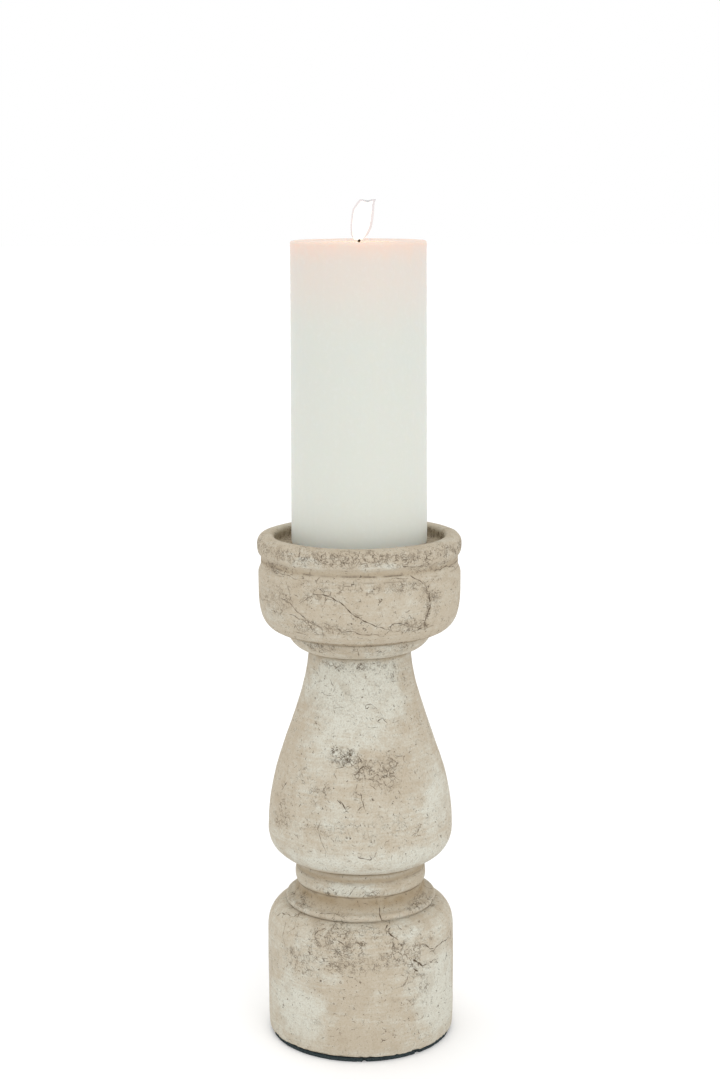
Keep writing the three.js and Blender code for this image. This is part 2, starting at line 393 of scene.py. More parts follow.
def jagged(points, chance, sway):
    """A route with each stretch split again and again, its new points pushed to one side or the other."""
    for _ in range(3):
        longer = [points[0]]
        for start, end in zip(points, points[1:]):
            way = end - start
            push = np.array([-way[1], way[0]]) * chance.uniform(-sway, sway)
            longer += [(start + end) / 2 + push, end]
        points = longer
        sway *= 0.9
    return np.array(points)


def stamp_crack(skin, layer, route, width, chance, sway=0.12, taper=0.5):
    """One crack along a route of (degrees, height). Its side and width go into a layer, its groove into
    the skin."""
    runs = [skin.row_at(height) for _, height in route]
    middle = sum(runs) / len(runs)
    reach = np.interp(middle, skin.run, skin.points[:, 0])
    flat = [np.array([np.radians(degrees) * reach, run]) for (degrees, _), run in zip(route, runs)]
    points = jagged(flat, chance, sway)
    centre = (points.min(0) + points.max(0)) / 2
    size = np.ptp(points, axis=0) / 2 + CRACK_REACH
    rows = np.nonzero(np.abs(skin.run - centre[1]) <= size[1])[0]
    centre_angle = np.degrees(centre[0] / reach)
    columns = np.nonzero(np.abs(skin.away(centre_angle)) <= np.degrees(size[0] / reach))[0]
    cells = np.ix_(rows, columns)
    x = centre[0] + np.radians(skin.away(centre_angle)[columns])[None, :] * reach + 0 * rows[:, None]
    y = skin.run[rows][:, None] + 0 * x
    steps = np.diff(points, axis=0)
    lengths = np.hypot(*steps.T)
    before = np.r_[0, np.cumsum(lengths)]
    away = np.stack([x, y], -1)[..., None, :] - points[:-1]
    way = steps / np.maximum(lengths, 1e-6)[:, None]
    along = np.clip(away[..., 0] * way[:, 0] + away[..., 1] * way[:, 1], 0, lengths)
    off = away - along[..., None] * way
    far = np.hypot(off[..., 0], off[..., 1])
    right_of_it = way[:, 0] * off[..., 1] - way[:, 1] * off[..., 0] < 0
    closest = far.argmin(-1)[..., None]
    choices = (far, np.where(right_of_it, -far, far), (before[:-1] + along) / before[-1])
    nearest, side, share = (np.take_along_axis(each, closest, -1)[..., 0] for each in choices)
    strength = np.minimum(smooth(share, 0, 0.12), 1 - taper * smooth(share, 0.55, 1))
    strength *= smooth(1 - share, 0, 0.04)
    strength *= 0.72 + 0.28 * np.sin(share * before[-1] * 1.3 + chance.uniform(0, 6))
    near = 1 - smooth(nearest, SPACING * 1.42, CRACK_REACH)
    taken = nearest < np.abs(skin.values[f"crack_side_{layer}"][cells])
    for key, value in (("side", side), ("width", width * strength * near)):
        grid = skin.values[f"crack_{key}_{layer}"]
        grid[cells] = np.where(taken, value, grid[cells])
    groove = 0.8 * width * strength * np.clip(1 - nearest / (0.5 + width), 0, 1)
    skin.sink[cells] = np.maximum(skin.sink[cells], groove)


def add_cracks(skin, routes, seed):
    """Cracks from (half width, *route), spread over the layers so that neighbours can cross."""
    for layer in range(CRACK_LAYERS):
        skin.values[f"crack_side_{layer}"] = np.full(skin.radius.shape, CRACK_REACH)
        skin.values[f"crack_width_{layer}"] = np.zeros(skin.radius.shape)
    chance = np.random.default_rng(seed)
    for number, (width, *route) in enumerate(routes):
        stamp_crack(skin, number % CRACK_LAYERS, route, width, chance)


def partway(start, end, share):
    """The place a share of the way from one (degrees, height) to the next."""
    return [a + share * (b - a) for a, b in zip(start, end)]


def spurs(routes, seed):
    """Short side branches off the given cracks."""
    chance = np.random.default_rng(seed)
    branches = []
    for width, *route in routes:
        for here, there in zip(route, route[1:]):
            for _ in range(chance.integers(0, 3)):
                start = partway(here, there, chance.random())
                heading = math.atan2(there[1] - here[1], there[0] - here[0])
                heading += chance.choice((-1, 1)) * chance.uniform(0.5, 1.5)
                length = chance.uniform(1.0, 3.2)
                end = (start[0] + 1.3 * length * math.cos(heading), start[1] + length * math.sin(heading))
                branches.append((width * 0.55, start, end))
    return branches


def barbs(route, count, length, width, seed):
    """Many short spines to both sides of a crack, more of them to its left."""
    chance = np.random.default_rng(seed)
    spines = []
    for _ in range(count):
        step = chance.integers(len(route) - 1)
        angle, height = partway(route[step], route[step + 1], chance.random())
        away = chance.choice((-0.6, 1, 1)) * chance.uniform(0.5, 1) * length
        spines.append((width, (angle, height), (angle + away * 1.2, height + chance.uniform(-0.2, 1.1))))
    return spines


def wandering_cracks(count, low, high, angles, seed):
    """Routes of cracks that nobody placed by hand, for the sides and the back."""
    chance = np.random.default_rng(seed)
    routes = []
    for _ in range(count):
        angle = chance.uniform(*angles)
        height = chance.uniform(low, high)
        heading = chance.uniform(0, 2 * math.pi)
        route = [(angle, height)]
        for _ in range(chance.integers(2, 6)):
            heading += chance.uniform(-0.7, 0.7)
            length = chance.uniform(3, 7)
            angle += length * math.cos(heading) * 1.3
            height = min(max(height + length * math.sin(heading), low), high)
            route.append((angle, height))
        routes.append((chance.uniform(0.12, 0.34), *route))
    return routes


def tiny_cracks(count, low, high, seed):
    """Short hairline cracks all the way round, more level than upright."""
    chance = np.random.default_rng(seed)
    routes = []
    for _ in range(count):
        angle = chance.uniform(0, 360)
        height = chance.uniform(low, high)
        heading = chance.normal(0, 0.6)
        length = chance.uniform(0.8, 2.4)
        middle = (angle + length * math.cos(heading), height + length * math.sin(heading))
        heading += chance.uniform(-0.9, 0.9)
        end = (middle[0] + length * math.cos(heading), middle[1] + length * math.sin(heading))
        routes.append((chance.uniform(0.05, 0.2), (angle, height), middle, end))
    return routes


# ==== meshes ====


def add_object(name, data):
    item = bpy.data.objects.new(name, data)
    bpy.context.scene.collection.objects.link(item)
    return item


def ring_faces(low, high, columns):
    """Quads between two rows of vertices, given by their first vertex."""
    this = np.arange(columns)
    after = (this + 1) % columns
    return np.column_stack([low + this, high + this, high + after, low + after])


def grid_mesh(name, rows, closed, runs=None, values=None):
    """A closed mesh from rows of points round the axis. closed joins the last row to the first;
    otherwise each end row is drawn together into one vertex. Its unwrap has the angle across and the
    run along the profile up, or even rows where no run is given."""
    if runs is None:
        runs = np.arange(len(rows)) / len(rows) + 0.01
    rows = np.asarray(rows)
    up = runs / runs[-1] / WRAPPED_ROW
    if not closed:
        poles = rows[0].mean(0), rows[-1].mean(0)
        rows = rows[1:-1]
        up = up[1:-1]
    count, columns = rows.shape[:2]
    vertices = rows.reshape(-1, 3)
    lower = up if closed else up[:-1]
    upper = np.r_[up[1:], 1.0] if closed else up[1:]
    faces = [ring_faces(i * columns, (i + 1) % count * columns, columns) for i in range(len(lower))]
    faces = np.vstack(faces).tolist()
    across = np.arange(columns + 1) / columns
    left, right = across[:-1], across[1:]
    u = np.tile(np.column_stack([left, left, right, right]).ravel(), len(lower))
    v = np.repeat(np.column_stack([lower, upper, upper, lower]), columns, axis=0).ravel()
    if not closed:
        first = len(vertices)
        vertices = np.vstack([vertices, poles])
        last_row = (count - 1) * columns
        for column in range(columns):
            after = (column + 1) % columns
            faces.append([first, column, after])
            faces.append([first + 1, last_row + after, last_row + column])
        middle = (left + right) / 2
        u = np.r_[u, np.column_stack([middle, left, right, middle, right, left]).ravel()]
        v = np.r_[v, np.tile([0, up[0], up[0], 1 / WRAPPED_ROW, up[-1], up[-1]], columns)]
    mesh = bpy.data.meshes.new(name)
    mesh.from_pydata(vertices * MM, [], faces)
    mesh.polygons.foreach_set("use_smooth", np.ones(len(mesh.polygons), bool))
    mesh.update()
    layer = mesh.uv_layers.new(name="OFBake")
    layer.data.foreach_set("uv", np.column_stack([u, v]).ravel().astype(np.float32))
    for key, grid in (values or {}).items():
        grid = grid if closed else grid[1:-1]
        flat = np.zeros(len(vertices), np.float32)
        flat[: grid.size] = grid.ravel()
        if not closed:
            flat[-2:] = grid[0].mean(), grid[-1].mean()
        mesh.attributes.new(key, "FLOAT", "POINT").data.foreach_set("value", flat)
    return add_object(name, mesh)


def coat_piece(name, skin, lift, up):
    """One section's coat: its face moved out by lift and up by up, and a plain back inside it."""
    moved = skin.moved(lift)
    moved[..., 0] = np.maximum(moved[..., 0], 0)
    moved[..., 1] += up
    on_axis = skin.points[-1, 0] < 1e-6
    back_points, back_run = even(skin.points, BACK_SPACING)
    inset = back_points - COAT_THICKNESS * normals(back_points)
    inset[:, 0] = np.maximum(inset[:, 0], 0)
    inset[0] = skin.points[0] - (COAT_THICKNESS, 0)
    inset[-1] = skin.points[-1] - ((0, COAT_THICKNESS) if on_axis else (COAT_THICKNESS, 0))
    back = skin.in_space(skin.spun(inset[::-1]))
    rows = np.concatenate([back, skin.in_space(moved)])
    runs = np.r_[back_run, back_run[-1] + COAT_THICKNESS + skin.run]
    values = {key: np.vstack([np.zeros(back.shape[:2]), grid]) for key, grid in skin.values.items()}
    return grid_mesh(name, rows, not on_axis, runs, values)


# ==== materials ====


class Shader:
    """A material's nodes, added by short calls. A value is a number, a colour or another node's output."""

    def __init__(self, name):
        self.material = bpy.data.materials.new(name)
        self.material.use_nodes = True
        self.tree = self.material.node_tree
        self.tree.nodes.clear()

    def add(self, kind, inputs, output=0, **settings):
        node = self.tree.nodes.new("ShaderNode" + kind)
        for key, value in settings.items():
            setattr(node, key, value)
        for key, value in inputs.items():
            if isinstance(value, bpy.types.NodeSocket):
                self.tree.links.new(value, node.inputs[key])
            else:
                node.inputs[key].default_value = value
        return node.outputs[output]

    def math(self, operation, *values, clamp=False):
        return self.add("Math", dict(enumerate(values)), operation=operation, use_clamp=clamp)

    def times(self, first, second, clamp=False):
        return self.math("MULTIPLY", first, second, clamp=clamp)

    def most(self, first, second, clamp=False):
        return self.math("MAXIMUM", first, second, clamp=clamp)

    def mix(self, factor, first, second):
        return self.add("Mix", {0: factor, 6: first, 7: second}, output=2, data_type="RGBA")

    def step(self, value, low, high, start=0.0, end=1.0):
        """start below low, end above high, and a smooth change between."""
        inputs = {0: value, 1: low, 2: high, 3: start, 4: end}
        return self.add("MapRange", inputs, interpolation_type="SMOOTHSTEP")

    def noise(self, vector, scale, detail=2.0, distortion=0.0, output=0):
        inputs = {"Vector": vector, "Scale": scale, "Detail": detail, "Distortion": distortion}
        return self.add("TexNoise", inputs, output=output)

    def broken(self, value, vector, scale, detail, low, high, start=0.0):
        """The value where a noise is high, and start of it where the noise is low."""
        return self.times(value, self.step(self.noise(vector, scale, detail), low, high, start))

    def cells(self, vector, scale, feature, output="Distance"):
        return self.add("TexVoronoi", {"Vector": vector, "Scale": scale}, output=output, feature=feature)

    def value(self, name):
        return self.add("Attribute", {}, output="Fac", attribute_name=name)

    def place(self):
        """The place on the object, in millimetres."""
        metres = self.add("TexCoord", {}, output="Object")
        return self.add("VectorMath", {0: metres, "Scale": 1 / MM}, operation="SCALE")

    def stretched(self, vector, x, y, z):
        return self.add("VectorMath", {0: vector, 1: (x, y, z)}, operation="MULTIPLY")

    def warped(self, vector, scale, amount):
        """The place pushed about by noise."""
        push = self.noise(vector, scale, 2.0, output="Color")
        centred = self.add("VectorMath", {0: push, 1: (0.5, 0.5, 0.5)}, operation="SUBTRACT")
        scaled = self.add("VectorMath", {0: centred, "Scale": amount}, operation="SCALE")
        return self.add("VectorMath", {0: vector, 1: scaled}, operation="ADD")

    def bump(self, strength, distance, height):
        return self.add("Bump", {"Strength": strength, "Distance": distance, "Height": height})

    def finish(self, shader):
        """The material, with a node or the inputs of a principled one as its surface."""
        if isinstance(shader, dict):
            shader = self.add("BsdfPrincipled", shader)
        output = self.tree.nodes.new("ShaderNodeOutputMaterial")
        self.tree.links.new(shader, output.inputs["Surface"])
        return self.material


def srgb(red, green, blue):
    """A colour seen on screen, 0 to 255, as the linear colour that shaders take."""
    parts = [c / 255 for c in (red, green, blue)]
    linear = [c / 12.92 if c <= 0.04045 else ((c + 0.055) / 1.055) ** 2.4 for c in parts]
    return (*linear, 1.0)


def coat_material():
    """Chalky mineral coat: tan under an off-white wash, painted shade with brown dirt in its creases,
    painted shadow lines at its joints, cracks, crackle and pits.
    """
    s = Shader("mineral_coat")
    place = s.place()
    warped = s.warped(place, 0.16, 5.0)
    ragged = s.warped(warped, 0.7, 1.5)
    patches = s.noise(place, 0.05, 4.0)
    mottle = s.noise(place, 0.21, 5.0)
    grain = s.noise(place, 0.9, 4.0)
    streaks = s.noise(s.stretched(place, 0.07, 0.07, 0.8), 1.0, 5.0, 0.4)

    wash = s.value("wash")
    for texture, amount in ((patches, 0.95), (mottle, 1.15), (streaks, 1.1), (grain, 0.8)):
        wash = s.math("ADD", wash, s.math("MULTIPLY_ADD", texture, amount, -amount / 2))
    colour = s.mix(s.step(wash, -0.15, 1.1), TAN, OFF_WHITE)
    # painted shade with dirt in creases and inside the cup
    hollow = s.times(s.value("hollow"), s.step(mottle, 0.3, 0.65, 0.7, 1.0))
    colour = s.mix(hollow, colour, CREASE_SHADE_AND_DIRT_BROWN)
    smudge = s.times(s.step(s.noise(warped, 0.11, 5.0), 0.5, 0.68), 0.3)
    colour = s.mix(smudge, colour, SMUDGE)
    fine = s.times(s.step(s.noise(place, 1.4, 3.0), 0.4, 0.72), 0.42)
    colour = s.mix(fine, colour, SMUDGE)

    # crackle: a coarse web, a fine net, dots and short curls
    near_grit = s.math("MULTIPLY_ADD", s.noise(place, 0.13, 3.0), 0.9, s.times(s.value("grit"), 0.55))
    web = s.step(s.cells(ragged, 0.3, "DISTANCE_TO_EDGE"), 0.012, 0.06, 1.0, 0.0)
    web = s.broken(web, place, 0.24, 3.0, 0.44, 0.54)
    web = s.times(web, s.step(near_grit, 0.5, 0.85, 0.0, 0.8))
    net = s.step(s.cells(ragged, 0.72, "DISTANCE_TO_EDGE"), 0.025, 0.13, 1.0, 0.0)
    net = s.broken(net, place, 0.36, 3.0, 0.48, 0.6)
    net = s.times(net, s.step(near_grit, 0.5, 0.9, 0.0, 0.72))
    dots = s.cells(ragged, 0.8, "F1")
    some = s.add("SeparateXYZ", {0: dots.node.outputs["Color"]}, output="X")
    dots = s.step(s.math("SUBTRACT", dots, s.times(some, 0.3)), -0.12, 0.04, 1.0, 0.0)
    dots = s.times(dots, s.step(some, 0.45, 0.6))
    dots = s.broken(dots, place, 0.3, 2.0, 0.46, 0.62)
    dots = s.times(dots, s.step(near_grit, 0.42, 0.85, 0.0, 0.85))
    marks = s.most(s.most(web, net), dots)
    for size, pace, share in ((0.3, 0.42, 0.95), (0.55, 0.8, 0.8)):
        curl = s.math("ABSOLUTE", s.math("SUBTRACT", s.noise(warped, size, 3.0), 0.5))
        fleck = s.broken(s.step(curl, 0.004, 0.018, 1.0, 0.0), place, pace, 2.0, 0.59, 0.64)
        marks = s.most(marks, s.times(fleck, share))

    cracks = 0.0
    for layer in range(CRACK_LAYERS):
        side = s.math("ABSOLUTE", s.value(f"crack_side_{layer}"))
        edge = s.math("SUBTRACT", s.value(f"crack_width_{layer}"), side)
        line_here = s.math("MULTIPLY_ADD", edge, 3.2, 0.35, clamp=True)
        width_here = s.step(s.value(f"crack_width_{layer}"), 0.0, 0.12)
        cracks = s.most(cracks, s.times(line_here, width_here))
    cracks = s.broken(cracks, place, 1.1, 2.0, 0.25, 0.5, 0.6)
    # dirt in pits, together with painted shadow lines at joints and creases
    dirt = s.times(s.value("dirt"), s.step(grain, 0.3, 0.6, 0.55, 1.0))
    speckle = s.times(s.noise(place, 1.5, 3.0), 0.55)
    speckle = s.math("MULTIPLY_ADD", s.noise(ragged, 0.6, 4.0), 0.45, speckle)
    stained = s.math("MULTIPLY_ADD", s.value("stain"), 0.12, speckle)
    stained = s.times(s.step(stained, 0.585, 0.67), s.times(s.value("stain"), 0.95), clamp=True)
    dirt = s.most(dirt, stained)
    dark = s.most(s.most(marks, cracks), dirt, clamp=True)
    colour = s.mix(dark, colour, CRACK_BROWN)

    height = s.math("MULTIPLY_ADD", grain, 0.35, s.times(mottle, 0.5))
    height = s.math("SUBTRACT", height, s.times(dark, 0.9))
    bump = s.bump(0.45, 0.0003, height)
    rough = s.step(wash, 0.1, 0.9, 0.95, 0.86)
    return s.finish({"Base Color": colour, "Roughness": rough, "Normal": bump, "Specular IOR Level": 0.25})


def wax_material():
    """Cream wax with the flame's glow painted warm near its top and in its melted pool, painted a little
    lighter near its foot as painted light, and a little glossy where it has melted.
    """
    s = Shader("candle_wax_lit")
    place = s.place()
    height = s.add("SeparateXYZ", {0: place}, output="Z")
    cloud = s.noise(s.stretched(place, 1.0, 1.0, 0.35), 0.09, 3.0)
    level = s.math("MULTIPLY_ADD", cloud, 14.0, s.math("SUBTRACT", height, 7.0))
    # a little lighter towards the bottom: painted light
    colour = s.mix(s.step(level, CANDLE_BOTTOM, CANDLE_BOTTOM + 105), WAX_LOW_PAINTED_LIGHT, WAX_MIDDLE)
    # warmer towards the top and in the melted pool: the flame's glow, painted
    colour = s.mix(s.step(level, CANDLE_TOP - 52, CANDLE_TOP - 14), colour, WAX_PAINTED_FLAME_GLOW)
    colour = s.mix(s.step(level, CANDLE_TOP - 13, CANDLE_TOP + 2), colour, WAX_TOP_PAINTED_FLAME_GLOW)
    pool = s.step(s.value("pool"), 0.0, 1.0)
    colour = s.mix(pool, colour, WAX_POOL_PAINTED_FLAME_GLOW)
    bloom = s.times(s.step(s.noise(place, 0.5, 5.0), 0.5, 0.75), 0.12)
    colour = s.mix(bloom, colour, WAX_BLOOM)
    rubs = s.noise(s.stretched(place, 0.5, 0.5, 0.04), 1.0, 4.0)
    ripple = s.math("ADD", s.times(rubs, 0.4), s.times(s.noise(place, 0.25, 3.0), 0.8))
    bump = s.bump(0.22, 0.0004, ripple)
    rough = s.math("SUBTRACT", s.step(rubs, 0.3, 0.7, 0.42, 0.56), s.times(pool, 0.28))
    return s.finish({
        "Base Color": colour,
        "Roughness": rough,
        "Normal": bump,
        "Subsurface Weight": 0.35,
        "Subsurface Radius": (1.0, 0.62, 0.42),
        "Subsurface Scale": 0.006,
        "Specular IOR Level": 0.35,
    })


def wick_material():
    """Charred cotton, with an ember's glow painted at its tip."""
    s = Shader("charred_wick")
    place = s.place()
    twist = s.add("TexWave", {"Vector": place, "Scale": 0.9, "Distortion": 3.0, "Detail": 2.0})
    height = s.add("SeparateXYZ", {0: place}, output="Z")
    char = s.mix(twist, CHAR, CHAR_PALE)
    # the tip's orange is the ember's glow, painted
    colour = s.mix(s.step(height, CANDLE_TOP + 1.6, CANDLE_TOP + 2.4), char, EMBER_PAINTED_GLOW)
    return s.finish({"Base Color": colour, "Roughness": 0.9, "Normal": s.bump(0.8, 0.0002, twist)})


def flame_core_material():
    """The bright body of the flame."""
    s = Shader("flame_body")
    return s.finish(s.add("Emission", {"Color": (1.0, 0.93, 0.8, 1.0), "Strength": 2.2}))


def flame_edge_material():
    """The thin faint skin around the flame."""
    s = Shader("flame_skin")
    colour = s.mix(s.noise(s.place(), 0.3, 2.0), FLAME_PINK, FLAME_GREY)
    return s.finish({"Base Color": colour, "Roughness": 0.6, "Alpha": 0.36, "Specular IOR Level": 0.0})


def pad_material():
    """Dark dense felt."""
    s = Shader("pad_felt")
    fibres = s.noise(s.warped(s.place(), 1.2, 1.4), 3.0, 4.0)
    colour = s.mix(s.step(fibres, 0.35, 0.7), FELT_DARK, FELT_PALE)
    bump = s.bump(0.6, 0.0003, fibres)
    return s.finish({"Base Color": colour, "Roughness": 0.95, "Normal": bump, "Specular IOR Level": 0.2})


def wood_material(name, pale, dark):
    """Straight-grained wood, its grain along the axis."""
    s = Shader(name)
    place = s.place()
    rings = s.noise(s.stretched(place, 0.35, 0.35, 0.02), 1.0, 5.0, 0.6)
    pores = s.noise(s.stretched(place, 3.0, 3.0, 0.15), 1.0, 3.0)
    colour = s.mix(s.step(rings, 0.3, 0.7), pale, dark)
    colour = s.mix(s.step(pores, 0.6, 0.75, 0.0, 0.45), colour, dark)
    bump = s.bump(0.35, 0.0002, pores)
    return s.finish({"Base Color": colour, "Roughness": s.step(rings, 0.3, 0.7, 0.7, 0.8), "Normal": bump})


# ---- colours, as seen on screen ----
TAN = srgb(184, 173, 154)
OFF_WHITE = srgb(203, 202, 190)
# brown of painted shade with dirt in creases and inside the cup
CREASE_SHADE_AND_DIRT_BROWN = srgb(150, 133, 106)
SMUDGE = srgb(164, 149, 127)
CRACK_BROWN = srgb(82, 68, 52)
# the low wax colour is a little lighter: painted light
WAX_LOW_PAINTED_LIGHT = srgb(208, 210, 201)
WAX_MIDDLE = srgb(206, 208, 200)
# the warm, top and pool wax colours are the flame's glow, painted into the wax
WAX_PAINTED_FLAME_GLOW = srgb(213, 205, 196)
WAX_TOP_PAINTED_FLAME_GLOW = srgb(224, 202, 188)
WAX_POOL_PAINTED_FLAME_GLOW = srgb(242, 196, 148)
WAX_BLOOM = srgb(220, 222, 220)
CHAR = srgb(24, 19, 16)
CHAR_PALE = srgb(58, 44, 34)
# the ember colour is painted glow
EMBER_PAINTED_GLOW = srgb(190, 82, 34)
FLAME_PINK = srgb(206, 190, 192)
FLAME_GREY = srgb(190, 186, 192)
FELT_DARK = srgb(34, 43, 46)
FELT_PALE = srgb(66, 76, 78)
CORE_PALE = srgb(196, 160, 112)
CORE_DARK = srgb(150, 112, 70)
DOWEL_PALE = srgb(214, 186, 140)
DOWEL_DARK = srgb(180, 146, 98)


# ==== the coats ====

# Cracks, listed one by one: half the width in millimetres, then the route as (degrees, height).
BASE_CRACKS = [
    (0.26, (161, 62.5), (158, 65.5), (151, 66.5), (144, 66.5)), (0.3, (144, 66.5), (143, 68), (140, 67)),
    (0.2, (148, 64.5), (146, 62), (146, 58), (144, 54), (143, 50)),
    (0.16, (140, 66), (137, 63), (140, 61), (144, 59.5)),
    (0.24, (124, 70.5), (119, 71.5), (112, 72), (106, 71.5), (101, 70)),
    (0.36, (74, 75), (75, 71), (68, 67.5)),
    (0.3, (114, 66.5), (119, 64.5), (120, 62.5), (119, 61), (115, 60)),
    (0.28, (105, 62.5), (103, 61.5), (100, 60), (97, 60.5)), (0.2, (106, 65.5), (103, 65)),
    (0.22, (112, 61.5), (108, 62)), (0.34, (124, 54.5), (122, 54), (123, 52)),
    (0.5, (73, 66), (71, 64.5), (69, 63), (66, 61.5)), (0.36, (70, 67.5), (74, 65.5)),
    (0.28, (70, 61), (69, 58), (66, 56.5)), (0.26, (79, 56), (76, 54)), (0.3, (13, 55), (15, 51.5)),
    (0.34, (18, 53), (27, 52.5), (34, 52.5), (39, 51.5), (45, 50.5)),
    (0.38, (51, 57), (46, 55), (39, 51.5)), (0.56, (57, 50.5), (53, 48), (50, 45.5), (46, 45.5)),
    (0.5, (53, 48), (53, 45.5)), (0.62, (57, 45.5), (53, 43.5)),
    (0.28, (44, 46.5), (42, 45.5), (39, 46.5), (37, 45.5)), (0.28, (22, 46.5), (23, 44), (27, 41.5)),
    (0.2, (65, 51), (60, 48), (56, 48)), (0.22, (60, 43), (61, 40.5), (64, 38), (69, 37)),
    (0.2, (64, 54.5), (61, 52.5), (61, 50)), (0.24, (52, 35.5), (51, 33)), (0.22, (60, 30), (58, 27)),
]
BEAD_CRACKS = [
    (0.24, (93, 85.5), (97, 83), (102, 80)), (0.16, (118, 84), (114, 81.5)),
    (0.2, (74, 83), (80, 82), (86, 83)),
]
STEM_CRACKS = [
    (0.3, (149, 136), (153, 131)), (0.36, (104, 133), (100, 129.5), (97, 127)),
    (0.45, (105, 133), (102, 131)), (0.2, (98, 128), (101, 126.5)),
    (0.26, (90, 137), (89, 133), (88, 131), (86, 127.5)), (0.24, (88, 130.5), (92, 128)),
    (0.18, (94, 136.5), (90, 135.5), (86, 136)), (0.36, (94, 153.5), (91, 153.5), (88, 151)),
    (0.42, (87, 149.5), (90, 148), (93, 145)), (0.24, (108, 147.5), (101, 149)),
    (0.17, (109, 146), (106, 142)), (0.2, (74, 147), (68, 146)),
    (0.24, (71, 144.5), (66, 143.5), (62, 141)), (0.22, (85, 143), (79, 142.5), (76, 140)),
    (0.22, (84, 140.5), (79, 138)), (0.2, (75, 143), (72, 139)), (0.2, (64, 153.5), (56, 152), (56, 149)),
    (0.22, (64, 136.5), (62, 133.5)), (0.17, (93, 137), (92, 141)),
    (0.2, (114, 123), (117, 118), (113, 110), (111, 103.5)), (0.28, (92, 105), (84, 103.5), (80, 108)),
    (0.26, (48, 118.5), (52, 115), (58, 113.5)), (0.18, (152, 192), (139, 189.5)),
    (0.2, (123, 189), (115, 185)), (0.17, (130, 181.5), (118, 181)), (0.17, (115, 175), (105, 176)),
    (0.2, (87, 177), (80, 178), (73, 175)), (0.27, (75, 169), (69, 171), (65, 168)),
    (0.2, (54, 191), (55, 187.5), (47, 187), (46, 190)), (0.18, (84, 167.5), (74, 167)),
    (0.2, (61, 168.5), (53, 168.5)), (0.16, (101, 193), (95, 193)), (0.16, (130, 185.5), (123, 185.5)),
    (0.18, (134, 168), (126, 166)),
]
COLLAR_CRACKS = [
    (0.24, (92, 208), (91, 203)), (0.2, (120, 207), (114, 205)),
]
CUP_SIDE_CRACK = [(49, 218.3), (50.5, 221.5), (47.6, 228), (48, 234), (50.5, 239)]
CUP_CRACKS = [
    *barbs(CUP_SIDE_CRACK, 56, 2.4, 0.2, 31),
    (0.34, (119, 237.5), (111, 237.5), (106, 236.5), (103, 235), (99, 233), (94, 228.5), (90, 226.5),
     (82, 222.5), (76, 220.5), (71, 218.5), (65, 218.5)),
    (0.52, *CUP_SIDE_CRACK),
    (0.3, (61, 246.5), (54, 242.8), (49.5, 237)),
    (0.3, (50, 219.6), (55, 217.6), (58, 218)),
    (0.26, (48.5, 218.5), (43, 219)),
    (0.27, (140, 232.5), (135, 232.5), (131, 231), (125, 227), (121, 224.5), (114, 221.5), (105, 220)),
    (0.34, (61, 223), (70, 223), (73, 221.5), (71, 218.5)),
    (0.25, (133, 225.5), (128, 225), (123, 224), (117, 220.5)),
    (0.22, (111, 223.5), (106, 222), (101, 222.5)),
    (0.27, (105, 222), (100, 219), (93, 219.5), (85, 217.5), (80, 217.5), (76, 216)),
    (0.28, (50, 222), (55, 219.5), (62, 221)),
    (0.3, (67, 252), (58, 250), (52, 250.5), (46, 250)),
    (0.28, (44, 246), (30, 247), (12, 246)),
    (0.2, (135, 242), (132, 237.5), (132, 232)),
    (0.24, (131, 216.8), (121, 215)),
    (0.22, (118, 236.5), (121, 234), (125, 232)),
    (0.2, (73, 245), (65, 245), (61, 244.5)),
    (0.18, (94, 244), (94, 242), (104, 242.5)),
    (0.2, (153, 244), (138, 244.5), (121, 244.5)),
]

# Patches: strength, then centre (degrees, height) and reach (degrees, millimetres).
BASE_WASH = [
    (0.55, 134, 22, 34, 22), (0.75, 32, 26, 34, 26), (0.6, 30, 34, 20, 20), (-0.25, 84, 34, 34, 40),
    (0.45, 60, 64, 12, 7), (0.4, 108, 42, 12, 5), (-0.35, 90, 12, 30, 9), (0.5, 215, 30, 40, 25),
    (0.4, 300, 40, 36, 30),
]
# the first bead patch, whiter at the front of the lower bead, is a painted highlight
BEAD_WASH_AND_HIGHLIGHT = [(0.7, 100, 83, 34, 5), (-0.2, 35, 85, 35, 9), (0.5, 250, 83, 40, 5)]
STEM_WASH = [
    (0.75, 95, 182, 85, 24), (0.45, 110, 160, 40, 14), (-0.22, 40, 175, 24, 26), (-0.3, 165, 148, 30, 30),
    (-0.35, 72, 143, 34, 20), (0.45, 26, 128, 26, 28), (0.55, 80, 101, 110, 9), (0.3, 110, 124, 18, 10),
    (-0.3, 150, 122, 24, 14), (0.5, 290, 180, 60, 24), (0.5, 250, 101, 80, 9), (0.35, 200, 120, 24, 20),
]
COLLAR_WASH = [(0.25, 66, 205, 34, 6), (0.2, 280, 205, 60, 6)]
CUP_WASH = [
    (0.45, 121, 252.5, 13, 4), (0.12, 66, 232, 20, 12), (0.25, 150, 222, 34, 10),
    (-0.15, 110, 228, 24, 9), (0.4, 80, 252, 16, 4), (0.35, 240, 230, 50, 16), (0.4, 330, 252, 30, 5),
]
BASE_GRIT = [
    (0.4, 96, 58, 60, 16), (0.75, 104, 61, 24, 8), (0.6, 132, 48, 22, 8), (0.6, 98, 50, 16, 9),
    (0.5, 60, 54, 22, 10), (0.8, 154, 72, 26, 6), (0.8, 30, 72, 26, 6), (0.35, 50, 30, 20, 14),
    (0.8, 230, 56, 36, 10), (0.6, 320, 30, 30, 14), (0.5, 55, 44, 14, 6),
]
BEAD_GRIT = [(0.7, 112, 81.5, 22, 3), (0.7, 76, 81.5, 18, 3), (0.6, 260, 82, 40, 4)]
